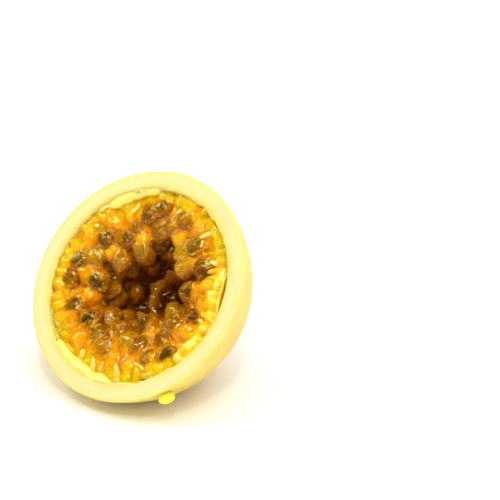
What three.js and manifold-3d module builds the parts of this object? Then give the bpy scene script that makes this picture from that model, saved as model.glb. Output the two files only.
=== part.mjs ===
// Cut half of a yellow passion fruit, resting tilted on a small flat spot under its rind.
//
// Units are millimetres and +Z is up. The cut face looks towards -Y and upwards, and the
// origin is the middle of the resting spot. The fruit is modelled upright first, in a frame
// of its own: z runs along the fruit's axis, 0 at the cut face and negative into the fruit.

import * as THREE from 'three';
import { mergeVertices } from 'three/addons/utils/BufferGeometryUtils.js';
import Module from 'manifold-3d';

const wasm = await Module();
wasm.setup();

// ---- Driving dimensions ----

const FRUIT_RADIUS = 39.6;       // greatest radius of the fruit, at its equator
const FRUIT_HALF_LENGTH = 47;    // from the equator to the pole
const CUT_PAST_EQUATOR = 8;      // the knife cut lies this far towards the kept pole
const FACE_TILT = 51;            // degrees from lying flat, face up

const RIND_THICKNESS = 5.8;      // skin and white pith together
const MEMBRANE_THICKNESS = 1.2;  // the thin inner wall that the seed stalks grow from
const CLEARANCE = 0.32;          // between one layer and the next
const EDGE_ROUND = 0.45;         // softened edges of the cut rind

const REST_DEPTH = 36.1;         // from the middle of the cut face down to the resting plane
const REST_BEHIND = 2.9;         // how far behind that middle the resting spot is centred
const FULLNESS = 1.5;            // how much fuller the underside is, towards the pole
const FULLNESS_SPREAD = 11;
const FULLNESS_AT = new THREE.Vector3(0, -19.6, -33.8);
const SKIN_FROM = 0.97;          // points this near the fruit's full form lie on its skin

// A grown fruit isn't quite round: [how much, how many times round, start in radians].
const SWELLS = [[0.006, 2, 0.6], [0.004, 3, -0.9]];

const SIDES = 48;                // facets round the fruit
const ARC_STEPS = 11;            // facets from the pole to the cut

// Places round the rim where the membrane has come away from the rind, in degrees from +x.
const LOOSE_PLACES = [
  { at: 11, halfWidth: 17, pull: 1.5 },
  { at: 127, halfWidth: 19, pull: 0.9 },
];
const LOOSE_DEPTH = 13;
const LOOSE_REACH = 20;          // nothing nearer the axis than this is drawn in

// The membrane's torn edge: [height, how many times round, start in radians].
const RAGS = [[0.45, 7, 0.4], [0.35, 12, 2.1]];
const RAGGED_DEPTH = 2.5;
const MEMBRANE_SUNK = 1.0;       // below the cut face

// The pulp's bed inside its edge, over the hollow's lip and down to its bottom: [radius, z].
const BED_EDGE_DEPTH = 2.4;      // where the pulp meets the membrane
const BED_OUTLINE = [[28, -3.2], [24, -4.3], [19.5, -5.8], [16.6, -8.8], [15.8, -13],
  [14.6, -17.5], [11.6, -22], [6.4, -25.4], [0, -26.4]];
const HOLLOW_MIDDLE = new THREE.Vector2(-1.0, 2.6);
const HOLLOW_REACH = 19;         // the bed inside this radius is centred on the hollow
const HOLLOW_LIP = 13;           // the hollow's own form is full within this
const HOLLOW_STRETCH = 0.11;     // the hollow is longer one way than the other
const HOLLOW_LONG_WAY = 40;      // degrees from +x
const GRAIN = 1.16;              // spacing of the points that carry the relief
const RELIEF_REACH = 7.5;        // arils stand out of the bed by less than this
const RELIEF_STEP = 0.15;
const EVENNESS = 0.4;            // how far the sides of the arils are eased into the bed

// The arils, the juicy sacs round the seeds, that lie round the hollow: degrees from +x and
// distance from the fruit's axis of the seed, degrees that the aril is turned from the straight
// way in, its width, and how plainly its seed shows, from 0 to 1.
const UPPER_ARILS = [
  [96, 26.8, 4, 7.6, 1], [107, 24.8, -8, 6.8, 0.85], [119, 20.6, -6, 6.8, 0.4],
  [131, 19.4, 10, 8.2, 0.95], [149, 22.8, 14, 7.6, 0.85], [166, 22.0, -14, 7.2, 0.3],
  [175, 26.2, 34, 7.4, 0.9], [189, 27.2, 10, 6.8, 0.6], [188, 17.2, -24, 8.4, 1],
  [210, 24.6, 8, 7.6, 0.85], [227, 20.2, 38, 8.2, 1], [222, 27.4, -10, 6.6, 0.1],
  [246, 20.6, -10, 7.8, 0.5], [259, 21.8, -42, 7.8, 0.2], [263, 15.4, 18, 7.4, 0.2],
  [281, 17.6, 6, 7.2, 0.25], [296, 19.4, -12, 7.8, 0.5], [303, 25.4, 12, 7.4, 0.35],
  [319, 27.0, -50, 8.4, 1], [319, 20.6, 28, 7.8, 0.6], [335, 18.8, -8, 8.0, 0.5],
  [352, 22.6, 10, 7.8, 0.8], [338, 25.6, 14, 6.8, 0.1], [11, 18.0, -6, 7.6, 0.85],
  [31, 23.0, 8, 7.6, 0.65], [40, 15.8, 4, 7.4, 0.2], [51, 22.4, -4, 8.4, 0.6],
  [58, 17.4, -6, 7.2, 0.15], [73, 26.2, 8, 7.6, 0.35], [71, 20.6, -10, 7.2, 0.1],
  [85, 22.0, 6, 7.4, 0.2], [95, 19.6, -26, 7.4, 0.5], [155, 14.0, -8, 7.2, 0.3],
  [200, 19.6, 20, 6.8, 0.05], [114, 12.6, 0, 7.6, 0.45], [302, 12.2, 4, 7.4, 0.9],
  [2, 26.0, 0, 7.0, 0], [16, 26.8, 6, 6.6, 0],
  [238, 26.4, 8, 7.0, 0.1], [276, 25.8, -4, 7.0, 0.05], [289, 26.6, 4, 6.4, 0],
  [160, 27.4, 0, 6.8, 0.1], [137, 26.4, 6, 7.0, 0.1], [122, 27.0, -6, 6.8, 0.1],
  [60, 27.4, 0, 6.4, 0],
];
const UPPER_DEPTH = 4.1;         // below the cut face, of a seed UPPER_OUT from the axis
const UPPER_OUT = 27;
const UPPER_SLOPE = 0.15;        // deeper by this for each millimetre nearer the axis
const UPPER_VARIES = 0.7;        // how much higher or lower than that one may lie
const ARIL_NOSE = 3.8;           // from an upper aril's seed to its round end
const NECK_REACH = 9.5;          // how far behind its seed it starts, where the wall allows
const NECK_DEPTH = 5.4;
const SEED_SHOWS = 0.3;          // only seeds at least this plain stand out

// The arils inside the hollow, in rows down to its bottom. tip and base are [distance from the
// hollow's middle, depth below the cut face].
const HOLLOW_ROWS = [
  { count: 11, phase: 0.10, tip: [11.6, 10.8], base: [22.0, 10.2], width: 7.6 },
  { count: 10, phase: 0.60, tip: [10.8, 16.4], base: [20.4, 14.2], width: 7.2 },
  { count: 8, phase: 0.25, tip: [8.8, 21.6], base: [16.6, 19.4], width: 7.0 },
  { count: 5, phase: 0.40, tip: [4.4, 23.8], base: [7.4, 31.5], width: 6.6 },
];
const HOLLOW_VARIES = { place: 0.16, drop: 0.7, shift: 1.1, width: 0.7, slew: 0.10 };
const HOLLOW_PROFILE = [1.35, 0.62];
const HOLLOW_FLOOR_RISE = 2;     // how far the relief lifts the middle of the bottom
const ARIL_FLATNESS = 0.86;      // thickness over width
const ARIL_NECK = 0.72;          // an upper aril's width at its root over its greatest
const WALL_LIMIT = 30.8;         // no aril starts further out than this from the fruit's axis

const SEED_LENGTH = 5.2;
const SEED_WIDTH = 3.4;
const SEED_THICKNESS = 2.4;
const SEED_PROUD = 0.9;          // how far it shows above the aril
const SEED_FACETS = [7, 5];

// Seed stalks: pale pegs that stand inwards from the membrane, in degrees from +x.
const STALK_ANGLES = [80, 99, 116, 150, 187, 218, 249, 262, 281, 300, 325, 348, 28, 52];
const STALK_SIDES = 5;
const STALK_LENGTH = 5.4;
const STALK_BASE_RADIUS = 1.15;
const STALK_TIP_RADIUS = 0.5;
const STALK_DEPTH = 2.6;
const STALK_SUNK = 0.35;         // how far its root goes into the membrane
const STALK_CLEARANCE = 0.35;
const STALK_VARIES = { length: 0.4, lean: 24, depth: 1.6 };
const STALK_RISE = [8, 22];      // the least rise, and how much more it may be, in degrees

// Folds of the torn membrane that lean in over the pulp's edge: [degrees from +x, length].
const FOLDS = [[-36, 4.6], [-24, 5.2], [-12, 6.0], [0, 6.4], [11, 6.2], [22, 6.6], [34, 5.6],
  [45, 4.4]];
const FOLD_WIDTH = 3.6;
const FOLD_THICKNESS = 2.2;
const FOLD_DEPTH = 2.3;
const FOLD_SUNK = 0.9;           // how far its root goes into the membrane
const FOLD_DROOP = 12;           // degrees that it hangs down towards the pulp
const FOLD_FACETS = [7, 5];
const FOLD_VARIES = { width: 0.3, depth: 0.7, place: 5 };

// ---- Small helpers ----

function seededRandom(seed) {
  let state = seed;
  return () => {
    state = (state + 0x6d2b79f5) | 0;
    let mixed = Math.imul(state ^ (state >>> 15), 1 | state);
    mixed = (mixed + Math.imul(mixed ^ (mixed >>> 7), 61 | mixed)) ^ mixed;
    return ((mixed ^ (mixed >>> 14)) >>> 0) / 4294967296;
  };
}

const radians = THREE.MathUtils.degToRad;

// A smooth hump: 1 in the middle, 0 at and past the given distance.
function hump(distance, reach) {
  const part = Math.min(Math.abs(distance) / reach, 1);
  return (1 - part * part) ** 2;
}

function angleBetween(a, b) {
  return ((a - b + 540) % 360) - 180;
}

function toSolid(geometry) {
  const bare = geometry.clone();
  bare.deleteAttribute('normal');
  bare.deleteAttribute('uv');
  const merged = mergeVertices(bare);
  const corners = merged.index.array;
  const triangles = [];
  for (let i = 0; i < corners.length; i += 3) {
    const [a, b, c] = [corners[i], corners[i + 1], corners[i + 2]];
    if (a !== b && b !== c && c !== a) triangles.push(a, b, c);
  }
  const vertProperties = new Float32Array(merged.attributes.position.array);
  const triVerts = new Uint32Array(triangles);
  return new wasm.Manifold(new wasm.Mesh({ numProp: 3, vertProperties, triVerts }));
}

function toGeometry(solid) {
  const mesh = solid.getMesh();
  const geometry = new THREE.BufferGeometry();
  geometry.setAttribute('position', new THREE.BufferAttribute(mesh.vertProperties, 3));
  geometry.setIndex(new THREE.BufferAttribute(mesh.triVerts, 1));
  geometry.computeVertexNormals();
  return geometry;
}

function joined(solids) {
  return solids.reduce((whole, next) => whole.add(next));
}

// Cutting can leave loose scraps; only the biggest body is kept.
function mainBody(solid) {
  const bodies = solid.decompose();
  return bodies.reduce((best, next) => (next.volume() > best.volume() ? next : best));
}

// A closed outline of [radius, z] points, turned about the z axis.
function turned(outline, sides) {
  const points = outline.map(([radius, z]) => new THREE.Vector2(Math.max(radius, 0), z));
  return new THREE.LatheGeometry(points, sides).rotateX(Math.PI / 2);
}

function moveEachPoint(geometry, move) {
  const position = geometry.attributes.position;
  const point = new THREE.Vector3();
  for (let i = 0; i < position.count; i += 1) {
    point.fromBufferAttribute(position, i);
    move(point);
    position.setXYZ(i, point.x, point.y, point.z);
  }
  return geometry;
}

// ---- The fruit's surfaces ----

// Points [radius, z] from the pole up to a depth below the cut, inset from the skin.
function shellArc(inset, depth, steps = ARC_STEPS) {
  const radius = FRUIT_RADIUS - inset;
  const halfLength = FRUIT_HALF_LENGTH - inset;
  const last = Math.asin((CUT_PAST_EQUATOR + depth) / halfLength);
  const arc = [];
  for (let i = 0; i <= steps; i += 1) {
    const turn = Math.PI / 2 + (last - Math.PI / 2) * (i / steps);
    const reach = i === 0 ? 0 : radius * Math.cos(turn);
    arc.push([reach, CUT_PAST_EQUATOR - halfLength * Math.sin(turn)]);
  }
  return arc;
}

// The sum of a few waves round the fruit, each [size, how many times round, start].
function waves(list, point) {
  const angle = Math.atan2(point.y, point.x);
  return list.reduce((sum, [size, times, start]) => sum + size * Math.sin(times * angle + start), 0);
}

// Every layer shares the same swells.
function swell(point) {
  const grow = 1 + waves(SWELLS, point);
  point.x *= grow;
  point.y *= grow;
}

function fillUnderside(point) {
  const away = point.distanceTo(FULLNESS_AT) / FULLNESS_SPREAD;
  const push = FULLNESS * Math.exp(-away * away / 2);
  point.addScaledVector(FULLNESS_AT.clone().normalize(), push);
}

// Draws the membrane and the pulp in from the rind where it has come loose.
function loosen(point) {
  const reach = Math.hypot(point.x, point.y);
  if (reach < LOOSE_REACH) return;
  const angle = THREE.MathUtils.radToDeg(Math.atan2(point.y, point.x));
  const fade = hump(point.z, LOOSE_DEPTH);
  for (const place of LOOSE_PLACES) {
    const pull = place.pull * fade * hump(angleBetween(angle, place.at), place.halfWidth);
    point.x -= pull * point.x / reach;
    point.y -= pull * point.y / reach;
  }
}

// What lies inside the rind follows both.
function settled(geometry) {
  return moveEachPoint(geometry, (point) => {
    loosen(point);
    swell(point);
  });
}

// ---- Rind ----

function restingPlaneCutter() {
  const size = 120;
  const block = new THREE.BoxGeometry(size, size, size);
  block.translate(0, 0, -REST_DEPTH - size / 2);
  return toSolid(block.rotateX(-radians(FACE_TILT)));
}

function makeRind() {
  const outer = shellArc(0, EDGE_ROUND);
  const inner = shellArc(RIND_THICKNESS, EDGE_ROUND).reverse();
  const rimOuter = outer.at(-1)[0];
  const rimInner = inner[0][0];
  const rim = [[rimOuter - EDGE_ROUND, 0], [rimInner + EDGE_ROUND, 0]];
  const cup = turned([...outer, ...rim, ...inner], SIDES);
  moveEachPoint(cup, (point) => {
    const across = Math.hypot(point.x, point.y) / FRUIT_RADIUS;
    const along = (point.z - CUT_PAST_EQUATOR) / FRUIT_HALF_LENGTH;
    if (Math.hypot(across, along) > SKIN_FROM) fillUnderside(point);
    swell(point);
  });
  return toSolid(cup).subtract(restingPlaneCutter());
}

// ---- Membrane and seed stalks ----

const MEMBRANE_INSET = RIND_THICKNESS + CLEARANCE;
const PULP_INSET = MEMBRANE_INSET + MEMBRANE_THICKNESS + CLEARANCE;

function ragged(point) {
  if (point.z < -RAGGED_DEPTH) return;
  point.z += waves(RAGS, point);
}

// The stalks, each made fatter by extra; the same draw places them every time.
function stalks(extra) {
  const random = seededRandom(11);
  return STALK_ANGLES.map((degrees) => {
    const length = STALK_LENGTH * (1 + STALK_VARIES.length * (random() - 0.5)) + 2 * extra;
    const rise = radians(STALK_RISE[0] + STALK_RISE[1] * random());
    const lean = radians(degrees + STALK_VARIES.lean * (random() - 0.5));
    const peg = new THREE.CylinderGeometry(
      STALK_TIP_RADIUS + extra, STALK_BASE_RADIUS + extra, length, STALK_SIDES);
    peg.translate(0, length / 2 - extra, 0);
    const along = new THREE.Vector3(
      -Math.cos(lean) * Math.cos(rise), -Math.sin(lean) * Math.cos(rise), Math.sin(rise));
    peg.applyQuaternion(new THREE.Quaternion().setFromUnitVectors(
      new THREE.Vector3(0, 1, 0), along));
    const depth = STALK_DEPTH + STALK_VARIES.depth * random();
    const root = new THREE.Vector3(membraneInside(depth) + STALK_SUNK, 0, -depth);
    root.applyAxisAngle(new THREE.Vector3(0, 0, 1), radians(degrees));
    loosen(root);
    peg.translate(root.x, root.y, root.z);
    return toSolid(moveEachPoint(peg, swell));
  });
}

// The folds, each made fatter by extra.
function folds(extra) {
  const random = seededRandom(71);
  return FOLDS.map(([degrees, reach]) => {
    const length = reach + FOLD_SUNK;
    const width = FOLD_WIDTH * (1 + FOLD_VARIES.width * (random() - 0.5));
    const depth = FOLD_DEPTH + FOLD_VARIES.depth * random();
    const flap = new THREE.SphereGeometry(1, ...FOLD_FACETS).rotateZ(Math.PI / 2);
    flap.scale(length / 2 + extra, width / 2 + extra, FOLD_THICKNESS / 2 + extra);
    flap.rotateY(-radians(FOLD_DROOP));
    const root = membraneInside(depth) + FOLD_SUNK;
    flap.translate(root - length / 2, 0, -depth);
    flap.rotateZ(radians(degrees + FOLD_VARIES.place * (random() - 0.5)));
    return toSolid(settled(flap));
  });
}

// Radius of the membrane's inner face at a depth below the cut.
function membraneInside(depth) {
  return shellArc(MEMBRANE_INSET + MEMBRANE_THICKNESS, depth).at(-1)[0];
}

function makeMembrane() {
  const outer = shellArc(MEMBRANE_INSET, MEMBRANE_SUNK);
  const inner = shellArc(MEMBRANE_INSET + MEMBRANE_THICKNESS, MEMBRANE_SUNK).reverse();
  const skin = turned([...outer, ...inner], SIDES);
  moveEachPoint(skin, (point) => {
    ragged(point);
    loosen(point);
    swell(point);
  });
  return mainBody(joined([toSolid(skin), ...stalks(0), ...folds(0)]));
}

// ---- Pulp: arils and seeds raised from a bed ----

// Axes of a sac that points from base to tip, with its flat side turned up.
function sacFrame(base, tip) {
  const along = tip.clone().sub(base).normalize();
  const side = new THREE.Vector3(0, 0, 1).cross(along).normalize();
  const up = along.clone().cross(side);
  return new THREE.Matrix4().makeBasis(side, up, along).setPosition(base);
}

function drawUpperSac([degrees, reach, turned, width, shows], random) {
  const angle = radians(degrees);
  const depth = UPPER_DEPTH + UPPER_SLOPE * (UPPER_OUT - reach)
    + UPPER_VARIES * (2 * random() - 1);
  const seedAt = new THREE.Vector3(reach * Math.cos(angle), reach * Math.sin(angle), -depth);
  const back = angle + radians(turned);
  const base = new THREE.Vector3(
    seedAt.x + NECK_REACH * Math.cos(back), seedAt.y + NECK_REACH * Math.sin(back), -NECK_DEPTH);
  keepOffWall(base);
  const nose = seedAt.clone().sub(base).setLength(ARIL_NOSE);
  const tip = seedAt.clone().add(nose);
  return { base, tip, width, shows, seedAlong: 1 - ARIL_NOSE / base.distanceTo(tip) };
}

function drawHollowSac(row, index, random) {
  const jitter = (size) => size * (2 * random() - 1);
  const angle = 2 * Math.PI * (index + row.phase + jitter(HOLLOW_VARIES.place)) / row.count;
  const drop = jitter(HOLLOW_VARIES.drop);
  const shift = jitter(HOLLOW_VARIES.shift);
  const width = row.width + jitter(HOLLOW_VARIES.width);
  const slew = jitter(HOLLOW_VARIES.slew);
  const pointAt = ([reach, depth], turn) => aroundHollow(reach + shift, turn, -depth - drop, 1);
  const tip = pointAt(row.tip, angle);
  const base = pointAt(row.base, angle + slew);
  keepOffWall(base);
  return { base, tip, width, shows: 0 };
}

function keepOffWall(point) {
  const inward = Math.min(1, WALL_LIMIT / Math.hypot(point.x, point.y));
  point.x *= inward;
  point.y *= inward;
}

// A point at a distance and angle from the hollow's middle, which is longer one way; share
// says how much of the hollow's own place and form it takes, from 0 to 1.
function aroundHollow(reach, angle, z, share) {
  const stretch = HOLLOW_STRETCH * Math.cos(2 * (angle - radians(HOLLOW_LONG_WAY)));
  const radius = reach * (1 + stretch * share * hump(Math.max(reach - HOLLOW_LIP, 0), HOLLOW_REACH));
  return new THREE.Vector3(radius * Math.cos(angle) + HOLLOW_MIDDLE.x * share,
    radius * Math.sin(angle) + HOLLOW_MIDDLE.y * share, z);
}

// Half width of a sac, the widest being 1, at a part of the way from its base to its round
// end. The upper ones are widest at the seed, with thick necks that reach the wall.
function sacProfile(along, seedAlong) {
  if (seedAlong === undefined) {
    const [lean, bluntness] = HOLLOW_PROFILE;
    return Math.sin(Math.PI * along ** lean) ** bluntness;
  }
  if (along > seedAlong) {
    return Math.sqrt(1 - ((along - seedAlong) / (1 - seedAlong)) ** 2);
  }
  return ARIL_NECK + (1 - ARIL_NECK) * THREE.MathUtils.smoothstep(along, 0, seedAlong);
}

function sacTest({ base, tip, width, seedAlong }) {
  const toOwn = sacFrame(base, tip).invert();
  const length = base.distanceTo(tip);
  const own = new THREE.Vector3();
  return (point) => {
    own.copy(point).applyMatrix4(toOwn);
    const along = own.z / length;
    if (along <= 0 || along >= 1) return false;
    const radius = (width / 2) * sacProfile(along, seedAlong);
    return Math.hypot(own.x, own.y / ARIL_FLATNESS) < radius;
  };
}

// A seed is an almond at the top of its sac.
function seedSolid({ base, tip, width, seedAlong }) {
  const almond = new THREE.SphereGeometry(1, ...SEED_FACETS).rotateX(Math.PI / 2);
  almond.scale(SEED_WIDTH / 2, SEED_THICKNESS / 2, SEED_LENGTH / 2);
  const height = (width / 2) * ARIL_FLATNESS - SEED_THICKNESS / 2 + SEED_PROUD;
  almond.translate(0, height, base.distanceTo(tip) * seedAlong);
  almond.applyMatrix4(sacFrame(base, tip));
  return toSolid(settled(almond));
}

function drawAllSacs() {
  const random = seededRandom(7);
  const sacs = UPPER_ARILS.map((place) => drawUpperSac(place, random));
  for (const row of HOLLOW_ROWS) {
    for (let i = 0; i < row.count; i += 1) sacs.push(drawHollowSac(row, i, random));
  }
  return sacs;
}

// How far out along a direction the furthest of the shapes still reaches from a point.
function reliefAt(point, normal, tests) {
  const probe = new THREE.Vector3();
  for (let height = RELIEF_REACH; height > 0; height -= RELIEF_STEP) {
    probe.copy(point).addScaledVector(normal, height);
    if (tests.some((test) => test(probe))) return height;
  }
  return 0;
}

// The bed as rings of points, each with the direction in which it is raised.
function bedRings() {
  const outline = [pulpEdge(), ...BED_OUTLINE].map(([r, z]) => new THREE.Vector2(r, z));
  const curve = new THREE.SplineCurve(outline);
  const steps = Math.round(curve.getLength() / GRAIN);
  const rings = [];
  for (let i = 1; i < steps; i += 1) {
    const at = curve.getPointAt(i / steps);
    const tangent = curve.getTangentAt(i / steps);
    const count = Math.max(5, Math.round(2 * Math.PI * at.x / GRAIN));
    const inEdge = outline[0].x - at.x;
    const share = 1 - hump(inEdge, outline[0].x - HOLLOW_REACH);
    rings.push(bedRing(at, tangent, count, share));
  }
  return rings;
}

function bedRing(at, tangent, count, share) {
  const points = [];
  for (let i = 0; i < count; i += 1) {
    const angle = 2 * Math.PI * i / count;
    const place = aroundHollow(at.x, angle, at.y, share);
    const normal = new THREE.Vector3(
      tangent.y * Math.cos(angle), tangent.y * Math.sin(angle), -tangent.x);
    points.push({ place, normal });
  }
  return points;
}

// Fills the band between two rings of points with triangles, whatever their counts.
function stitch(triangles, first, second) {
  let i = 0;
  let j = 0;
  while (i < first.count || j < second.count) {
    const a = first.start + (i % first.count);
    const b = second.start + (j % second.count);
    if ((i + 1) * second.count <= (j + 1) * first.count) {
      i += 1;
      triangles.push(a, first.start + (i % first.count), b);
    } else {
      j += 1;
      triangles.push(a, second.start + (j % second.count), b);
    }
  }
}

function closedFromRings(rings, firstPole, lastPole) {
  const positions = [];
  const triangles = [];
  const bands = [];
  const addRing = (points) => {
    bands.push({ start: positions.length / 3, count: points.length });
    points.forEach((point) => positions.push(point.x, point.y, point.z));
  };
  [[firstPole], ...rings, [lastPole]].forEach(addRing);
  for (let i = 1; i < bands.length; i += 1) stitch(triangles, bands[i - 1], bands[i]);
  const geometry = new THREE.BufferGeometry();
  geometry.setAttribute('position', new THREE.Float32BufferAttribute(positions, 3));
  geometry.setIndex(triangles);
  return geometry;
}

function pulpEdge() {
  return shellArc(PULP_INSET, BED_EDGE_DEPTH).at(-1);
}

function pulpUnderside() {
  return shellArc(PULP_INSET, BED_EDGE_DEPTH).slice(1).map(([radius, z]) => {
    const ring = [];
    for (let i = 0; i < SIDES; i += 1) {
      const angle = 2 * Math.PI * i / SIDES;
      ring.push(new THREE.Vector3(radius * Math.cos(angle), radius * Math.sin(angle), z));
    }
    return ring;
  });
}

// Eases the height of each point towards its neighbours', so that no side is a cliff.
function evened(heights) {
  const near = (ring, share) => ring[Math.round(share * ring.length) % ring.length];
  return heights.map((ring, k) => ring.map((height, i) => {
    const share = i / ring.length;
    const before = near(heights[Math.max(k - 1, 0)], share);
    const after = near(heights[Math.min(k + 1, heights.length - 1)], share);
    const left = ring[(i + ring.length - 1) % ring.length];
    const right = ring[(i + 1) % ring.length];
    return height * (1 - EVENNESS) + EVENNESS * (before + after + left + right) / 4;
  }));
}

function pulpTop(sacs) {
  const tests = sacs.map(sacTest);
  const rings = bedRings();
  const heights = evened(rings.map((ring) => ring.map(
    ({ place, normal }) => reliefAt(place, normal, tests))));
  return rings.map((ring, k) => ring.map(
    ({ place, normal }, i) => place.addScaledVector(normal, heights[k][i])));
}

function makePulp() {
  const sacs = drawAllSacs();
  const bottom = new THREE.Vector3(0, 0, shellArc(PULP_INSET, 0)[0][1]);
  const [, hollowFloor] = BED_OUTLINE.at(-1);
  const floor = new THREE.Vector3(HOLLOW_MIDDLE.x, HOLLOW_MIDDLE.y,
    hollowFloor + HOLLOW_FLOOR_RISE);
  const body = closedFromRings([...pulpUnderside(), ...pulpTop(sacs)], bottom, floor);
  const seeds = sacs.filter((sac) => sac.shows >= SEED_SHOWS).map(seedSolid);
  const inTheWay = [...stalks(STALK_CLEARANCE), ...folds(STALK_CLEARANCE)];
  return mainBody(joined([toSolid(settled(body)), ...seeds]).subtract(joined(inTheWay)));
}

// ---- Assembly ----

function piece(name, solid, color, roughness) {
  const material = new THREE.MeshStandardMaterial({ color, roughness, metalness: 0 });
  const mesh = new THREE.Mesh(toGeometry(solid), material);
  mesh.name = name;
  return mesh;
}

const upright = new THREE.Group();
upright.add(piece('rind', makeRind(), '#f6d95a', 0.45));
upright.add(piece('inner_membrane', makeMembrane(), '#f8e690', 0.5));
upright.add(piece('pulp', makePulp(), '#d68a16', 0.3));
upright.rotation.x = radians(FACE_TILT);
upright.position.set(0, -REST_BEHIND, REST_DEPTH);

const passionFruitHalf = new THREE.Group();
passionFruitHalf.add(upright);

export default passionFruitHalf;
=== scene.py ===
"""Cut half of a yellow passion fruit: finished meshes, materials, light and camera.

The fruit is shaped in millimetres in a frame of its own, as in the CAD source: z runs along the
fruit's axis, 0 at the cut face and negative into the fruit. to_row() tilts it into the row frame.
"""

import math

import bpy
import numpy as np
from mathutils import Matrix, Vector, noise


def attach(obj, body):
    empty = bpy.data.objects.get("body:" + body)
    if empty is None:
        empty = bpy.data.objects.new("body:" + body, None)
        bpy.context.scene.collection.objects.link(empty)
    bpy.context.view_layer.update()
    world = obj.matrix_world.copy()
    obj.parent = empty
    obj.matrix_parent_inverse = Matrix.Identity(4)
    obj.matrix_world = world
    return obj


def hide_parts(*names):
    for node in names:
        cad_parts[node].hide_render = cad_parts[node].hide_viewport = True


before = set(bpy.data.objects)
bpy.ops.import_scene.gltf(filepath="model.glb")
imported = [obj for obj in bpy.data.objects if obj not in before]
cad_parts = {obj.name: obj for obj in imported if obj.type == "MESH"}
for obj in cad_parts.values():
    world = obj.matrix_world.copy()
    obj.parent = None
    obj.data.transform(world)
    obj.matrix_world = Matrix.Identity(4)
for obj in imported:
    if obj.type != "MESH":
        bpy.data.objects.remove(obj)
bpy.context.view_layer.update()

# ---- Driving dimensions, in millimetres, as in the CAD source ----

MM = 0.001
FRUIT_RADIUS = 39.6
FRUIT_HALF_LENGTH = 47.0
CUT_PAST_EQUATOR = 8.0
FACE_TILT = math.radians(51)
REST_DEPTH = 36.1
REST_BEHIND = 2.9
SWELLS = [(0.006, 2, 0.6), (0.004, 3, -0.9)]  # share of the radius, waves round, phase

RIND_THICKNESS = 5.8
MEMBRANE_THICKNESS = 1.2
CLEARANCE = 0.32
MEMBRANE_INSET = RIND_THICKNESS + CLEARANCE
PULP_INSET = MEMBRANE_INSET + MEMBRANE_THICKNESS + CLEARANCE

FULLNESS = 1.5
FULLNESS_SPREAD = 11.0
FULLNESS_AT = np.array([0.0, -19.6, -33.8])

LOOSE_PLACES = [(11, 17, 1.5), (127, 19, 0.9)]  # angle, half width in degrees, pull in mm
LOOSE_DEPTH = 13.0
LOOSE_REACH = 20  # nothing nearer the axis than this is drawn in

BED_EDGE_DEPTH = 2.4
BED_OUTLINE = [(28, -3.2), (24, -4.3), (19.5, -5.8), (16.6, -8.8), (15.8, -13),
               (14.6, -17.5), (11.6, -22), (6.4, -25.4), (0, -26.4)]
HOLLOW_MIDDLE = np.array([-1.0, 2.6])
HOLLOW_REACH = 19.0
HOLLOW_LIP = 13  # the hollow's own form is full within this
HOLLOW_STRETCH = 0.11
HOLLOW_LONG_WAY = math.radians(40)

# The arils round the hollow, each by its seed's place: degrees from +x, distance from the fruit's
# axis, degrees that it is turned from the straight way in, its width, and how clearly the gel
# shows the seed, from 0 to 1.
UPPER_ARILS = [
    (96, 26.8, 4, 7.6, 1), (107, 24.8, -8, 6.8, 0.85), (119, 20.6, -6, 6.8, 0.4),
    (131, 19.4, 10, 8.2, 0.95), (149, 22.8, 14, 7.6, 0.85), (166, 22.0, -14, 7.2, 0.3),
    (175, 26.2, 34, 7.4, 0.9), (189, 27.2, 10, 6.8, 0.6), (188, 17.2, -24, 8.4, 1),
    (210, 24.6, 8, 7.6, 0.85), (227, 20.2, 38, 8.2, 1), (222, 27.4, -10, 6.6, 0.1),
    (246, 20.6, -10, 7.8, 0.5), (259, 21.8, -42, 7.8, 0.2), (263, 15.4, 18, 7.4, 0.2),
    (281, 17.6, 6, 7.2, 0.25), (296, 19.4, -12, 7.8, 0.5), (303, 25.4, 12, 7.4, 0.35),
    (319, 27.0, -50, 8.4, 1), (319, 20.6, 28, 7.8, 0.6), (335, 18.8, -8, 8.0, 0.5),
    (352, 22.6, 10, 7.8, 0.8), (338, 25.6, 14, 6.8, 0.1), (11, 18.0, -6, 7.6, 0.85),
    (31, 23.0, 8, 7.6, 0.65), (40, 15.8, 4, 7.4, 0.2), (51, 22.4, -4, 8.4, 0.6),
    (58, 17.4, -6, 7.2, 0.15), (73, 26.2, 8, 7.6, 0.35), (71, 20.6, -10, 7.2, 0.1),
    (85, 22.0, 6, 7.4, 0.2), (95, 19.6, -26, 7.4, 0.5), (155, 14.0, -8, 7.2, 0.3),
    (200, 19.6, 20, 6.8, 0.05), (114, 12.6, 0, 7.6, 0.45), (302, 12.2, 4, 7.4, 0.9),
    (2, 26.0, 0, 7.0, 0), (16, 26.8, 6, 6.6, 0),
    (238, 26.4, 8, 7.0, 0.1), (276, 25.8, -4, 7.0, 0.05), (289, 26.6, 4, 6.4, 0),
    (160, 27.4, 0, 6.8, 0.1), (137, 26.4, 6, 7.0, 0.1), (122, 27.0, -6, 6.8, 0.1),
    (60, 27.4, 0, 6.4, 0),
]
UPPER_DEPTH = 4.1
UPPER_OUT = 27
UPPER_SLOPE = 0.15
UPPER_VARIES = 0.7
ARIL_NOSE = 3.8
NECK_REACH = 9.5
NECK_DEPTH = 5.4

# The arils inside the hollow: count, phase, tip and base as (distance from the hollow's middle,
# depth), width
HOLLOW_ROWS = [
    (11, 0.10, (11.6, 10.8), (22.0, 10.2), 7.6),
    (10, 0.60, (10.8, 16.4), (20.4, 14.2), 7.2),
    (8, 0.25, (8.8, 21.6), (16.6, 19.4), 7.0),
    (5, 0.40, (4.4, 23.8), (7.4, 31.5), 6.6),
]
HOLLOW_VARIES = {"place": 0.16, "drop": 0.7, "shift": 1.1, "width": 0.7, "slew": 0.10}
HOLLOW_PROFILE = (1.35, 0.62)
ARIL_FLATNESS = 0.86
NECK_SHARE = 0.72
WALL_LIMIT = 30.8

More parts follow.
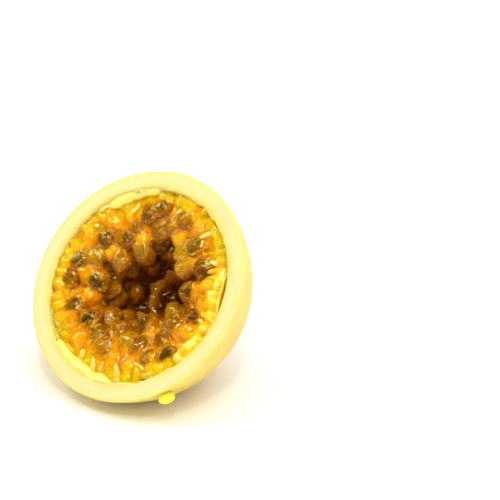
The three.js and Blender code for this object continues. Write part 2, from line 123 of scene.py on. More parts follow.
SEED_HALVES = np.array([1.6, 1.0, 2.35])  # half width, half thickness, half length
HOLLOW_SEED_ALONG = 0.60

STALK_ANGLES = [80, 99, 116, 150, 187, 218, 249, 262, 281, 300, 325, 348, 28, 52]
STALK_LENGTH = 5.4
STALK_BASE_RADIUS = 1.15
STALK_TIP_RADIUS = 0.45
STALK_DEPTH = 2.6
STALK_SUNK = 0.35
STALK_VARIES = {"length": 0.4, "lean": 24, "depth": 1.6}
STALK_RISE = (8, 22)  # the least rise, and how much more it may be, in degrees

DROP_ANGLE = -51.0
DROP_DEPTH = 4.2
DROP_HANGS = 0.9  # its middle stands this far outside the skin
DROP_HALVES = (2.8, 2.3, 1.9)

# ---- Camera: the photo's own view ----

VIEW_AZIMUTH = math.radians(35.9)
VIEW_ELEVATION = math.radians(24.0)
VIEW_DISTANCE = 585.0
PHOTO_SIZE = 500
FOCAL_PIXELS = 1834.5
SENSOR = 36.0
STUDIO_LEVEL = 1.22  # how much brighter than its own colour a surface looks in this light
FACE_MIDDLE_PIXEL = (135.0, 284.0)  # where the middle of the cut face stands in the photo


# ---- Small helpers ----

def seeded_random(seed):
    """The CAD source's own draw, so that every aril stands where its solid does."""
    state = seed

    def draw():
        nonlocal state
        state = (state + 0x6D2B79F5) & 0xFFFFFFFF
        mixed = ((state ^ (state >> 15)) * (1 | state)) & 0xFFFFFFFF
        step = ((mixed ^ (mixed >> 7)) * (61 | mixed)) & 0xFFFFFFFF
        mixed = ((mixed + step) & 0xFFFFFFFF) ^ mixed
        return (mixed ^ (mixed >> 14)) / 4294967296

    return draw


def hump(distance, reach):
    part = np.clip(np.abs(distance) / reach, 0, 1)
    return (1 - part * part) ** 2


def smooth_step(low, high, value):
    part = np.clip((value - low) / (high - low), 0, 1)
    return part * part * (3 - 2 * part)


def near_place(angle, at, half_width):
    """1 at a place round the fruit, 0 past its half width, both in degrees."""
    return hump((np.degrees(angle) - at + 540) % 360 - 180, half_width)


def waves_round(angle, layers):
    return sum(height * np.sin(count * angle + phase) for height, count, phase in layers)


def noise_at(points, size, seed):
    """Smooth noise in -1..1 at each point; size is how big its lumps are."""
    shift = Vector((seed * 17.3, seed * 7.9, seed * 31.1))
    return np.array([noise.noise(Vector(p) / size + shift) for p in points])


def lumps_at(points, layers):
    """Lumps of several kinds, each (size, seed, height), from 0 up to their heights."""
    return sum(height * (noise_at(points, size, seed) * 0.5 + 0.5)
               for size, seed, height in layers)


def polar(radius, angle, z):
    """Points by their distance and angle about the axis, and their height."""
    return np.stack([radius * np.cos(angle), radius * np.sin(angle), z + 0 * angle], -1)


def polar_of(points):
    """Each point's distance from the axis, and its angle about it."""
    return np.hypot(points[:, 0], points[:, 1]), np.arctan2(points[:, 1], points[:, 0])


def linear(*screen):
    """A screen colour, 0 to 255, as Blender's linear one."""
    parts = (value / 255 for value in screen)
    return (*(part / 12.92 if part <= 0.04045 else ((part + 0.055) / 1.055) ** 2.4
              for part in parts), 1.0)


def shown(*screen):
    """A surface's own colour, from the screen colour that the studio light makes of it."""
    return (*(value / STUDIO_LEVEL for value in linear(*screen)[:3]), 1.0)


def to_row(points):
    """From the upright fruit in mm to the row frame in metres."""
    points = np.asarray(points, float)
    cos, sin = math.cos(FACE_TILT), math.sin(FACE_TILT)
    x, y, z = points[:, 0], points[:, 1], points[:, 2]
    row = np.stack([x, y * cos - z * sin - REST_BEHIND, y * sin + z * cos + REST_DEPTH], 1)
    return row * MM


# ---- The fruit's surfaces ----

def shell_radius(inset, depth):
    radius = FRUIT_RADIUS - inset
    half_length = FRUIT_HALF_LENGTH - inset
    return radius * np.sqrt(np.clip(1 - ((CUT_PAST_EQUATOR + depth) / half_length) ** 2, 0, 1))


def shell_arc(inset, depth, steps):
    """Points (radius, z) from just off the pole up to a depth below the cut."""
    half_length = FRUIT_HALF_LENGTH - inset
    last = math.asin((CUT_PAST_EQUATOR + depth) / half_length)
    turns = np.linspace(math.pi / 2, last, steps + 1)[1:]
    return [((FRUIT_RADIUS - inset) * math.cos(t),
             CUT_PAST_EQUATOR - half_length * math.sin(t)) for t in turns]


def swell(points):
    """The fruit isn't quite round."""
    points[:, :2] *= (1 + waves_round(polar_of(points)[1], SWELLS))[:, None]
    return points


def fill_underside(points):
    away = np.linalg.norm(points - FULLNESS_AT, axis=1) / FULLNESS_SPREAD
    push = FULLNESS * np.exp(-away * away / 2)
    return points + push[:, None] * FULLNESS_AT / np.linalg.norm(FULLNESS_AT)


def loosen(points):
    """Draws the inner wall and what lies on it in, where the wall has come off the pith."""
    reach, angle = polar_of(points)
    fade = hump(points[:, 2], LOOSE_DEPTH) * (reach > LOOSE_REACH)
    for at, half_width, pull in LOOSE_PLACES:
        inward = pull * fade * near_place(angle, at, half_width)
        points[:, :2] *= (1 - inward / np.maximum(reach, 1))[:, None]
    return points


def capped(points, sides, first, last):
    """A closed body from rings of points, with a pole at each end. It faces outwards if the rings
    go up the outside."""
    count = len(points)
    faces = []
    for low in range(0, count - sides, sides):
        for i in range(sides):
            j = (i + 1) % sides
            faces.append((low + i, low + j, low + sides + j, low + sides + i))
    for i in range(sides):
        j = (i + 1) % sides
        faces.append((count, j, i))
        faces.append((count + 1, count - sides + i, count - sides + j))
    return np.vstack([points, [first, last]]), faces


def closed_turned(outline, sides, first_z, last_z):
    """A closed body: an outline of (radius, z) turned about the axis, with a pole at each end."""
    outline = np.array(outline, float)
    angles = np.arange(sides) * 2 * math.pi / sides
    points = polar(outline[:, :1], angles, outline[:, 1:]).reshape(-1, 3)
    return capped(points, sides, (0, 0, first_z), (0, 0, last_z))


def ball(sides, rings):
    """A ball of radius 1."""
    slopes = np.arange(1, rings) * math.pi / rings
    return closed_turned(np.stack([np.sin(slopes), -np.cos(slopes)], 1), sides, -1, 1)


def gathered(bodies):
    """Several bodies as one list of points and one of faces."""
    faces, start = [], 0
    for points, own_faces in bodies:
        faces += [tuple(start + i for i in f) for f in own_faces]
        start += len(points)
    return np.vstack([points for points, _ in bodies]), faces


def axes_along(way):
    """Side, up and along of what lies along a way, as the rows of a matrix."""
    side = np.cross((0, 0, 1), way)
    side /= np.linalg.norm(side)
    return np.array([side, np.cross(way, side), way])


def new_object(name, data):
    thing = bpy.data.objects.new(name, data)
    bpy.context.scene.collection.objects.link(thing)
    return thing


def mesh_object(name, points, faces):
    mesh = bpy.data.meshes.new(name)
    mesh.from_pydata(points, [], faces)
    return new_object(name, mesh)


def make_piece(name, points, faces, node, material, attributes=None):
    """An object of its own in the row frame, which rides on the body and stands for a CAD node."""
    piece = mesh_object(name, to_row(points).tolist(), faces)
    for label, values in (attributes or {}).items():
        values = np.asarray(values, np.float32)
        kind, field = ("FLOAT_VECTOR", "vector") if values.ndim == 2 else ("FLOAT", "value")
        layer = piece.data.attributes.new(label, kind, "POINT")
        layer.data.foreach_set(field, values.ravel())
    piece.data.shade_smooth()
    piece.data.materials.append(material)
    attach(piece, "root")
    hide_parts(node)


# ---- Materials ----

class Nodes:
    """A material's or a world's nodes. An input is given a value or another node's output."""

    def __init__(self, owner, surface, **inputs):
        owner.use_nodes = True
        self.owner, self.tree = owner, owner.node_tree
        self.surface = self.tree.nodes[surface]
        self.feed(self.surface, inputs)

    def feed(self, node, inputs):
        for slot, value in inputs.items():
            socket = node.inputs[slot.replace("_", " ") if isinstance(slot, str) else slot]
            if isinstance(value, bpy.types.NodeSocket):
                self.tree.links.new(value, socket)
            else:
                socket.default_value = value

    def add(self, kind, inputs, **settings):
        node = self.tree.nodes.new("ShaderNode" + kind)
        for label, value in settings.items():
            setattr(node, label, value)
        self.feed(node, inputs)
        return node

    def math(self, kind, first, second, clamp=False):
        return self.add("Math", {0: first, 1: second}, operation=kind, use_clamp=clamp).outputs[0]

    def mix(self, factor, first, second):
        return self.add("Mix", {0: factor, 6: first, 7: second}, data_type="RGBA").outputs[2]

    def attribute(self, name, output="Fac"):
        return self.add("Attribute", {}, attribute_name=name).outputs[output]

    def noise(self, scale, detail=3.0, roughness=0.5, place=None, distortion=0.0):
        """Noise of 0 to 1, by the place in the row frame in metres if no other is given."""
        place = place or self.add("NewGeometry", {}).outputs["Position"]
        return self.add("TexNoise", {"Scale": scale, "Detail": detail, "Roughness": roughness,
                                     "Distortion": distortion, "Vector": place}).outputs["Fac"]

    def sway(self, base, noise, size):
        """A value moved up and down by a noise of 0 to 1."""
        around = self.math("SUBTRACT", noise, 0.5)
        return self.math("ADD", base, self.math("MULTIPLY", around, size))

    def ramp(self, factor, stops, paint=shown, smooth=False):
        """Colours by a factor; each stop is its place and what paint makes the colour from."""
        node = self.add("ValToRGB", {"Fac": factor})
        if smooth:
            node.color_ramp.interpolation = "EASE"
        elements = node.color_ramp.elements
        while len(elements) < len(stops):
            elements.new(0.5)
        for element, (position, *colour) in zip(elements, stops):
            element.position = position
            element.color = paint(*colour)
        return node.outputs["Color"]

    def fade(self, factor, low, high, first=0.0, last=1):
        return self.ramp(factor, [(low, first), (high, last)], grey)

    def finish(self, colour, bump=None, **inputs):
        """The material, with its colour, and its bump from (height, strength, distance)."""
        if bump:
            node = self.add("Bump", dict(zip(("Height", "Strength", "Distance"), bump)))
            inputs["Normal"] = node.outputs["Normal"]
        self.feed(self.surface, {"Base Color": colour, **inputs})
        return self.owner


def grey(value):
    return (value, value, value, 1)


def principled(name, under=(), **inputs):
    """A material; under is what light does under its skin: how much, how far, and each colour."""
    inputs.update(zip(("Subsurface_Weight", "Subsurface_Scale", "Subsurface_Radius"), under))
    return Nodes(bpy.data.materials.new(name), "Principled BSDF", **inputs)


def rind_material():
    """Waxy yellow skin outside, moist cream pith on the cut face, green-gold between them, and an
    inner wall with painted shade deeper down.
    """
    mat = principled("rind_skin_and_pith", (0.35, 0.004, (1, 0.75, 0.3)), IOR=1.42)
    skin, below = mat.attribute("skin"), mat.attribute("below")
    yellow = mat.ramp(below, [(0, 252, 240, 128), (0.25, 251, 226, 88),
                              (0.6, 249, 212, 52), (1, 247, 204, 40)], smooth=True)
    yellow = mat.mix(mat.fade(mat.noise(140, 4, 0.6), 0.42, 0.62),
                     yellow, mat.mix(0.22, yellow, shown(238, 178, 24)))
    fleck = mat.noise(900, 2)
    yellow = mat.mix(mat.fade(fleck, 0.64, 0.74, 0, 0.35), yellow, shown(205, 150, 30))
    sponge = mat.noise(650, 4, 0.65)
    tone = mat.sway(mat.attribute("across"), mat.noise(110, 3, 0.6), 0.45)
    pith = mat.ramp(tone, [(0, 243, 226, 134), (0.16, 246, 227, 156), (0.5, 247, 230, 176),
                           (0.78, 246, 226, 150), (1, 243, 208, 104)], smooth=True)
    pith = mat.mix(mat.fade(sponge, 0.35, 0.6, 0.45, 0), pith, shown(242, 226, 130))
    # The rind's inner wall turns darker and more orange deeper down: painted shade of the narrow
    # gap behind the membrane.
    inner = mat.ramp(below, [(0, 250, 220, 116), (0.1, 250, 202, 96), (0.4, 240, 168, 50)])
    pith = mat.mix(mat.attribute("inner_wall"), pith, inner)
    colour = mat.mix(skin, pith, yellow)
    colour = mat.mix(mat.attribute("skin_line"), colour, shown(178, 180, 62))
    height = mat.math("MULTIPLY", sponge, mat.math("SUBTRACT", 1, skin))
    height = mat.math("ADD", height, mat.math("MULTIPLY", fleck, 0.25))
    return mat.finish(colour, (height, 0.35, 0.0004),
                      Roughness=mat.mix(skin, grey(0.46), grey(0.34)))


def membrane_material():
    """The thin inner wall: bright yellow at its torn edge, more orange where the juice lies."""
    mat = principled("membrane_skin", (0.9, 0.006, (1, 0.7, 0.2)), IOR=1.38, Roughness=0.28)
    tone = mat.sway(mat.attribute("below"), mat.noise(260, 3, 0.6), 0.5)
    colour = mat.ramp(tone, [(0, 255, 204, 84), (0.3, 255, 184, 34),
                             (0.6, 255, 166, 4), (1, 250, 142, 0)], linear)
    return mat.finish(colour, (mat.noise(900, 3, 0.6), 0.3, 0.0004))


def frill_material():
    """Bright yellow folds, pale where they are torn, with painted light making their higher parts
    paler.
    """
    mat = principled("membrane_fold", (0.8, 0.003, (1, 0.75, 0.15)), IOR=1.37, Roughness=0.22,
                     Specular_IOR_Level=0.3, Coat_Weight=0.4, Coat_Roughness=0.05)
    colour = mat.ramp(mat.attribute("pale"), [
        (0, 255, 184, 0), (0.35, 255, 206, 20), (0.7, 255, 228, 118)], linear)
    colour = mat.mix(mat.math("MULTIPLY", mat.attribute("reach"), 0.6), colour,
                     linear(255, 168, 0))
    return mat.finish(colour, (mat.noise(900, 3, 0.6), 0.4, 0.0005))


def stalk_material():
    """Cream seed stalks, yellower at their roots."""
    mat = principled("seed_stalk", (0.5, 0.003, (1, 0.8, 0.35)), IOR=1.38, Roughness=0.3)
    colour = mat.ramp(mat.attribute("along"), [
        (0, 254, 204, 30), (0.45, 254, 224, 86), (1, 255, 236, 138)])
    return mat.finish(colour, (mat.noise(1200, 2), 0.25, 0.0003))


def pulp_material():
    """Amber gel over dark seeds, bright fibrous flesh at the wall, red-brown painted shade in the
    hollow, and painted light and shade on the arils' crowns, seams and streaks.
    """
    mat = principled(
        "pulp_gel", (0.75, 0.003, (1, 0.8, 0.15)), IOR=1.36, Roughness=0.09, Coat_Weight=1,
        Coat_IOR=1.28, Coat_Roughness=0.03, Specular_IOR_Level=0.15,
        Specular_Tint=linear(255, 214, 110), Transmission_Weight=0.05)
    fibres = mat.noise(1.1, 4, 0.6, mat.attribute("own_place", "Vector"), distortion=0.7)
    cloud = mat.noise(420, 4, 0.6, distortion=0.8)
    # The gel's tone by aril, made paler on each aril's crown as painted light.
    hue_and_lit_crown = mat.attribute("hue_and_lit_crown")
    gel = mat.ramp(hue_and_lit_crown, [(0, 150, 66, 0), (0.3, 194, 104, 0), (0.65, 224, 136, 0),
                         (1, 252, 190, 16)])
    gel = mat.mix(mat.fade(cloud, 0.46, 0.64, 0, 0.4), gel, shown(166, 88, 0))
    # The seed shows through the gel by how far a look into it misses the seed.
    miss = mat.sway(mat.attribute("miss"), fibres, 0.34)
    seen = mat.ramp(miss, [(0.13, 40, 30, 0), (0.22, 64, 46, 2), (0.29, 112, 76, 8),
                           (0.37, 170, 110, 8), (0.50, 222, 142, 0)])
    veil = mat.math("MULTIPLY", mat.attribute("clear"),
                    mat.fade(miss, 0.36, 0.56, 1, 0.15), clamp=True)
    colour = mat.mix(veil, gel, seen)
    pale_fibres = mat.fade(fibres, 0.54, 0.64, 0, 0.75)
    # Brighter cream streaks along the fibres: painted highlights, kept off the seeds.
    painted_highlight_streaks = mat.fade(fibres, 0.63, 0.70, 0, 0.8)
    off_seed = mat.fade(miss, 0.18, 0.36, 0.35, 1)
    for amount, pale in ((pale_fibres, shown(255, 204, 44)), (painted_highlight_streaks, shown(255, 228, 120))):
        colour = mat.mix(mat.math("MULTIPLY", amount, off_seed), colour, pale)
    flesh = mat.ramp(mat.attribute("fibre"), [
        (0, 228, 120, 0), (0.35, 246, 152, 0), (0.7, 255, 175, 0), (1, 255, 200, 0)], linear)
    flesh = mat.mix(pale_fibres, flesh, linear(255, 210, 24))
    colour = mat.mix(mat.attribute("flesh"), colour, flesh)
    # Where two arils meet: painted shade darkens the crease, and painted light makes the gel's edge
    # glow pale.
    between = mat.ramp(cloud, [(0.42, 140, 54, 0), (0.52, 226, 140, 4), (0.60, 255, 214, 104)])
    colour = mat.mix(mat.fade(mat.attribute("seam_shade_and_glow"), 0.4, 0.9, 0, 0.65), colour, between)
    # Deeper into the hollow the colour turns dark red-brown as painted shade, with paler painted
    # light on the crests.
    hollow_shade_and_crest_light = mat.ramp(mat.sway(hue_and_lit_crown, cloud, 0.8), [
        (0.15, 100, 12, 0), (0.4, 196, 88, 0), (0.7, 255, 174, 40)])
    colour = mat.mix(mat.math("MULTIPLY", mat.attribute("deep"), 0.8), colour, hollow_shade_and_crest_light)
    fine = mat.math("MULTIPLY", mat.noise(1500, 2), 0.12)
    height = mat.math("ADD", mat.noise(480, 4, 0.6, distortion=1.2), fine)
    height = mat.math("ADD", height, mat.math("MULTIPLY", fibres, 1.1))
    return mat.finish(colour, (height, 0.7, 0.002))


def seed_material():
    """Glossy dark olive-brown seeds, finely pitted."""
    mat = principled("seed_coat", Roughness=0.3, IOR=1.5)
    colour = mat.ramp(mat.noise(800, 3, 0.6), [(0.3, 52, 36, 4), (0.7, 88, 62, 10)])
    return mat.finish(colour, (mat.noise(1800, 2), 0.4, 0.0003))


def juice_material():
    mat = principled("juice", (0.9, 0.006, (1, 0.9, 0.1)), Roughness=0.08, IOR=1.35)
    return mat.finish(mat.ramp(mat.noise(600, 1), [(0.3, 255, 225, 56), (0.7, 255, 234, 86)],
                               linear))


# ---- Rind ----

RIND_SIDES = 288
EDGE_ROUND = 0.5
SKIN_KEEP_IN = 0.12  # the visible skin stays this far inside the solid's own
SKIN_LUMPS = [(14.0, 1, 0.22), (2.2, 2, 0.05)]
FACE_LUMPS = [(5.0, 3, 0.12), (1.3, 4, 0.06)]
NEAR_POLE = 20  # nearer the axis than this, the skin is drawn in along the axis too
PALE_SKIN_DEPTH = 26.0  # the skin is palest at the cut, and has its full yellow at this depth
PITH_WANDERS = 0.9  # how far the pith's inner edge reaches inwards in places
SKIN_LINE_PLACE = (165, 115)  # where the green-gold line is plainest: angle, half width in degrees


def rind_outline():
    """Skin, outer edge, cut face, inner edge and inner wall, each as points (radius, z)."""
    outer = shell_arc(0, EDGE_ROUND, 96)
    inner = shell_arc(RIND_THICKNESS, EDGE_ROUND, 44)[::-1]
    turns = np.linspace(0, math.pi / 2, 5)[1:]

    def rounded(rim, side):
        return [(rim + side * EDGE_ROUND * (1 - math.cos(t)), -EDGE_ROUND * (1 - math.sin(t)))
                for t in turns]

    outer_edge, inner_edge = rounded(outer[-1][0], -1), rounded(inner[0][0], 1)[::-1]
    face = [(radius, 0.0) for radius in
            np.linspace(outer_edge[-1][0], inner_edge[0][0], 26)[1:-1]]
    return outer, outer_edge, face, inner_edge, inner


def make_rind():
    outer, outer_edge, face, inner_edge, inner = rind_outline()
    outline = [*outer, *outer_edge, *face, *inner_edge, *inner]
    low_pole = CUT_PAST_EQUATOR - FRUIT_HALF_LENGTH
    points, faces = closed_turned(outline, RIND_SIDES, low_pole, low_pole + RIND_THICKNESS)
    count = len(outline)
    ring = np.append(np.repeat(np.arange(count), RIND_SIDES), [0, count - 1])
    on_skin = ring < len(outer)
    inside = ring >= count - len(inner)
    on_face = ~on_skin & ~inside

    radius = polar_of(points)[0]
    across = (np.max(radius[on_face]) - radius) / RIND_THICKNESS
    below = np.clip(-points[:, 2] / PALE_SKIN_DEPTH, 0, 1)
    depth_on_skin = np.where(on_skin, -points[:, 2], 0)

    def draw_in(inward):
        points[:, :2] *= (1 - inward / np.maximum(radius, 8))[:, None]

    points[on_skin] = fill_underside(points[on_skin])
    points = swell(points)
    inward = np.where(on_skin, SKIN_KEEP_IN + lumps_at(points, SKIN_LUMPS), 0)
    draw_in(inward)
    points[:, 2] += np.where(on_skin & (radius < NEAR_POLE), inward * 0.5, 0)
    points[:, 2] -= np.where(on_face, SKIN_KEEP_IN + lumps_at(points, FACE_LUMPS), 0)

    angle = polar_of(points)[1]
    thicker = PITH_WANDERS * (0.5 + 0.5 * noise_at(points, 4.0, 15)
                              + 0.3 * noise_at(points, 1.5, 16))
    thicker *= smooth_step(0.7, 1.0, across) * smooth_step(-8, -3, points[:, 2])
    draw_in(np.where(on_skin, 0, thicker * (1 - bare_wall(angle))))

    points = flatten_underside(points)
    skin_edge = smooth_step(0.13, 0.05, across + 0.03 * noise_at(points, 6.0, 5))
    skin_line = np.exp(-((across - 0.045) / 0.03) ** 2) * on_face
    skin_line += np.exp(-(depth_on_skin / 0.5) ** 2) * on_skin
    skin_line *= 0.25 + 0.75 * near_place(angle, *SKIN_LINE_PLACE)
    make_piece("rind_peel", points, faces, "rind", rind_material(), {
        "inner_wall": inside.astype(float), "below": below, "across": np.clip(across, 0, 1),
        "skin": np.where(on_skin, 1.0, skin_edge) * ~inside,
        "skin_line": np.clip(skin_line, 0, 1) * (0.6 + 0.5 * noise_at(points, 7.0, 14))})


def flatten_underside(points):
    """Presses what would lie below the resting plane up to it."""
    cos, sin = math.cos(FACE_TILT), math.sin(FACE_TILT)
    height = points[:, 1] * sin + points[:, 2] * cos + REST_DEPTH
    sunk = np.minimum(height, 0)
    points[:, 1] -= sunk * sin
    points[:, 2] -= sunk * cos
    return points


# ---- Membrane and stalks ----

MEMBRANE_SIDES = 240
GAP_CLOSED = 0.27  # the wall lies this much nearer to the pith than its solid does
MEMBRANE_TOP = 1.0
FILM_SHARE = 0.3  # the torn edge's thickness over the wall's own
FILM_DEPTH = 5.5  # where the wall has its full thickness
# Places round it (angle, half width in degrees): where its folds are pale, and where its edge
# stands clear of the flesh
PALE_FOLDS = [(118, 34), (252, 52)]
BARE_PLACES = [(-6, 50), (114, 34), (250, 52)]
WALL_SINKS = 1.1  # how much lower its edge lies where the flesh covers it
EDGE_RAGS = [(0.4, 7, 0.4), (0.3, 12, 2.1)]  # height, waves round, phase
FOLD_ROOT = 32.6
FRILL_GRAIN = 0.35  # voxel size of the skin that joins the folds
STALK_FULLER = 1.15  # how much thicker a stalk is than its solid
STALK_HOOKS = 0.9
STALK_DROOP = 0.12
# The frill's folds, each as (degrees, how far it reaches in, width, depth of its middle): a sheet
# and its pale ridges at the right
FRILL_FOLDS = [
    (-52, 3.6, 4.6, 2.6), (-45, 4.2, 4.8, 2.6), (-38, 4.6, 4.8, 2.5), (-31, 4.6, 4.8, 2.5),
    (-24, 5.0, 5.0, 2.5), (-17, 5.2, 5.0, 2.5), (-10, 5.6, 5.0, 2.4), (-3, 5.8, 5.0, 2.4),
    (4, 6.0, 5.0, 2.4), (11, 6.2, 5.0, 2.4), (18, 6.0, 5.0, 2.4), (25, 6.0, 5.0, 2.4),
    (32, 5.4, 4.8, 2.6), (39, 4.6, 4.6, 2.8),
    (-34, 5.4, 1.8, 1.4), (-20, 6.4, 1.8, 1.3), (-7, 7.0, 1.8, 1.3), (2, 7.6, 2.0, 1.2),
    (9, 6.4, 1.8, 1.4), (17, 7.4, 2.0, 1.2), (26, 8.0, 2.0, 1.2), (34, 6.6, 1.8, 1.5),
]
# Its smooth stretches, which lie along the pith: from and to in degrees, radius, width, depth
FRILL_BANDS = [
    (90, 112, 33.4, 3.4, 1.9), (100, 124, 33.0, 4.6, 1.7), (112, 136, 32.9, 4.8, 1.7),
    (124, 148, 33.3, 3.8, 1.9),
    (218, 242, 33.4, 3.4, 1.9), (230, 254, 32.9, 4.6, 1.7), (242, 266, 32.6, 5.2, 1.7),
    (254, 278, 32.8, 4.8, 1.7), (266, 294, 33.3, 3.8, 1.9),
]


def bare_wall(angle):
    """1 where the wall stands clear of the flesh, 0 where the flesh covers its edge."""
    return np.maximum.reduce([near_place(angle, *place) for place in BARE_PLACES])


def make_membrane():
    outer = shell_arc(MEMBRANE_INSET - GAP_CLOSED, MEMBRANE_TOP, 44)
    full = shell_arc(MEMBRANE_INSET + MEMBRANE_THICKNESS, MEMBRANE_TOP, 44)[::-1]
    thinned = (1 - FILM_SHARE) * MEMBRANE_THICKNESS
    inner = [(radius + thinned * (1 - smooth_step(MEMBRANE_TOP, FILM_DEPTH, -z)), z)
             for radius, z in full]
    low_pole = CUT_PAST_EQUATOR - FRUIT_HALF_LENGTH + MEMBRANE_INSET
    points, faces = closed_turned(
        [*outer, *inner], MEMBRANE_SIDES, low_pole, low_pole + MEMBRANE_THICKNESS)
    angle = polar_of(points)[1]
    below = np.clip((-points[:, 2] - 0.8) / 5, 0, 1)
    edge = smooth_step(-6.0, -1.5, points[:, 2])
    points[:, 2] += edge * waves_round(angle, EDGE_RAGS)
    points[:, 2] += edge * (0.7 * noise_at(points, 2.4, 6) + 0.3 * noise_at(points, 0.9, 7))
    points[:, :2] *= (1 - edge * 0.004 * (noise_at(points, 2.0, 8) + 1))[:, None]
    points[:, 2] -= WALL_SINKS * edge * (1 - bare_wall(angle))
    make_piece("membrane_wall", swell(loosen(points)), faces, "inner_membrane",
               membrane_material(), {"below": below})


def loose_sac(base, tip, width, bend):
    """A sac without a seed, for a fold of the wall or a lobe of flesh."""
    return {"upper": True, "base": base, "tip": tip, "width": width, "along": 0.6, "bend": bend}


def make_frill():
    """Torn folds of the inner wall that reach in over the pulp's edge, widest on the right."""
    draw = seeded_random(71)
    bodies = []
    for index, (degrees, length, width, depth) in enumerate(FRILL_FOLDS):
        turn = math.radians(degrees + 4 * (draw() - 0.5))
        lean = turn + 0.2 * (draw() - 0.5)
        reach = FOLD_ROOT - length * (0.9 + 0.2 * draw())
        fold = loose_sac(polar(FOLD_ROOT, turn, -depth - 0.6),
                         polar(reach, lean, -depth - 0.2 * length),
                         width * (0.9 + 0.2 * draw()), 1.6 * (draw() - 0.5))
        bodies.append(sac_body(fold, 18, 12, index * 0.43 + 120))
    for index, (start, end, radius, width, depth) in enumerate(FRILL_BANDS):
        ends = [polar(radius, math.radians(at), -depth - 0.6) for at in (start, end)]
        band = loose_sac(*ends, width, -radius * (1 - math.cos(math.radians(end - start) / 2)))
        bodies.append(sac_body(band, 18, 24, index * 0.43 + 160))
    points, faces = joined_skin(bodies, FRILL_GRAIN)
    points += vertex_normals(points, faces) * (0.3 * noise_at(points, 1.8, 72))[:, None]
    radius, angle = polar_of(points)
    # Paler on its higher parts: partly the pale torn edge, partly painted light where the tops
    # catch it.
    pale = 0.9 * smooth_step(-2.2, -0.5, points[:, 2]) + 0.45 * noise_at(points, 1.8, 73)
    for at, half_width in PALE_FOLDS:
        pale += 0.55 * near_place(angle, at, half_width)
    make_piece("membrane_frill", swell(loosen(points)), faces, "inner_membrane",
               frill_material(), {"pale": np.clip(pale, 0, 1),
                                  "reach": smooth_step(33, 26, radius)})


def stalk_shape(length, bend, seed):
    """A bent, tapered peg along +x from its flared root at 0, and how far along each point is."""
    sides, rings = 10, 9
    points = []
    for k in range(rings):
        part = k / (rings - 1)
        flare = 1 + 4.4 * max(0, 0.25 - part)
        radius = STALK_BASE_RADIUS + (STALK_TIP_RADIUS - STALK_BASE_RADIUS) * part
        radius *= STALK_FULLER * flare * (0.55 if k == rings - 1 else 1)
        for i in range(sides):
            turn = 2 * math.pi * i / sides
            rough = 1 + 0.34 * noise.noise(
                Vector((part * 4, math.cos(turn), math.sin(turn) + seed * 5)))
            y, z = radius * rough * math.cos(turn), radius * rough * math.sin(turn) * 0.8
            points.append((part * length, y + bend * part * part * length,
                           z + STALK_DROOP * length * part * part))
    points, faces = capped(points, sides, (0, 0, 0),
                           (length * 1.03, bend * length, STALK_DROOP * length))
    return points, [f[::-1] for f in faces], points[:, 0] / length


def make_stalks():
    draw, own = seeded_random(11), seeded_random(12)
    bodies, all_along = [], []
    for degrees in STALK_ANGLES:
        length = STALK_LENGTH * (0.8 + STALK_VARIES["length"] * draw())
        rise = math.radians(STALK_RISE[0] + STALK_RISE[1] * draw())
        lean = math.radians(degrees + STALK_VARIES["lean"] * (draw() - 0.5))
        depth = STALK_DEPTH + STALK_VARIES["depth"] * draw()
        points, faces, along = stalk_shape(length, STALK_HOOKS * (own() - 0.5), own())
        forward = -polar(math.cos(rise), lean, -math.sin(rise))
        axes = axes_along(forward)[[2, 0, 1]]
        radius = shell_radius(MEMBRANE_INSET + MEMBRANE_THICKNESS, depth) + STALK_SUNK
        root = loosen(polar(radius, math.radians(degrees), -depth)[None])
        bodies.append((swell(points @ axes + root), faces))
        all_along.extend(along)
    make_piece("seed_stalks", *gathered(bodies), "inner_membrane",
               stalk_material(), {"along": all_along})


# ---- Pulp ----

BED_SIDES = 200
FLESH_SPREADS = (0.2, 1.15)  # how far it runs past its solid's side, low down and at the top
PULP_GRAIN = 0.45  # voxel size of the skin that joins the sacs and the flesh they lie in
FIBRE_STRETCH = (1.0, 1.0, 0.24)  # the gel's fibres run along their aril
GEL_CLEARNESS = 2.6  # mm of gel that hide a seed by two thirds
LOBE_COUNT = 50
LOBE_ROOT = 33.2
LOBES_SINK = 2.2  # how much deeper they lie where the wall's folds cover them
# Where the wall's edge has sunk, the flesh lies over it: how much further out it runs, and which
# share of the dip below the cut face it fills
OVER_THE_EDGE = 0.8
FILLS_EDGE = 0.75
ARIL_LUMPS = [(3.6, 0.20), (1.4, 0.07)]  # size, and height as a share of the aril's own
SEED_COVER = (0.45, 1.3, 0.3)  # mm of gel over a seed, more over an unclear one, more by chance
SEED_VARIES = {"shift": 0.8, "turn": math.radians(50), "size": 0.2, "bend": 2.0}
SEEDLESS = 0.12  # an aril less clear than this is flesh throughout
SEED_POINTED = 0.14


def around_hollow(reach, angle, z, share):
    """Points about the hollow's middle where share is 1, and about the fruit's axis where 0."""
    stretch = HOLLOW_STRETCH * np.cos(2 * (angle - HOLLOW_LONG_WAY))
    full = hump(np.maximum(reach - HOLLOW_LIP, 0), HOLLOW_REACH)
    points = polar(reach * (1 + stretch * share * full), angle, z)
    points[..., :2] += np.multiply.outer(share, HOLLOW_MIDDLE)
    return points


def smooth_outline(outline, steps):
    """Evenly spaced points on a smooth curve through the outline's points."""
    knots = np.array(outline, float)
    padded = np.vstack([2 * knots[0] - knots[1], knots, 2 * knots[-1] - knots[-2]])
    t = np.linspace(0, 1, 40, endpoint=False)[:, None]
    fine = [0.5 * (2 * b + (c - a) * t + (2 * a - 5 * b + 4 * c - d) * t * t
                   + (3 * b - a - 3 * c + d) * t ** 3)
            for a, b, c, d in zip(padded, padded[1:], padded[2:], padded[3:])]
    fine = np.vstack([*fine, knots[-1:]])
    length = np.append(0, np.cumsum(np.linalg.norm(np.diff(fine, axis=0), axis=1)))
    wanted = np.linspace(0, length[-1], steps + 1)
    return np.stack([np.interp(wanted, length, side) for side in fine.T], 1)


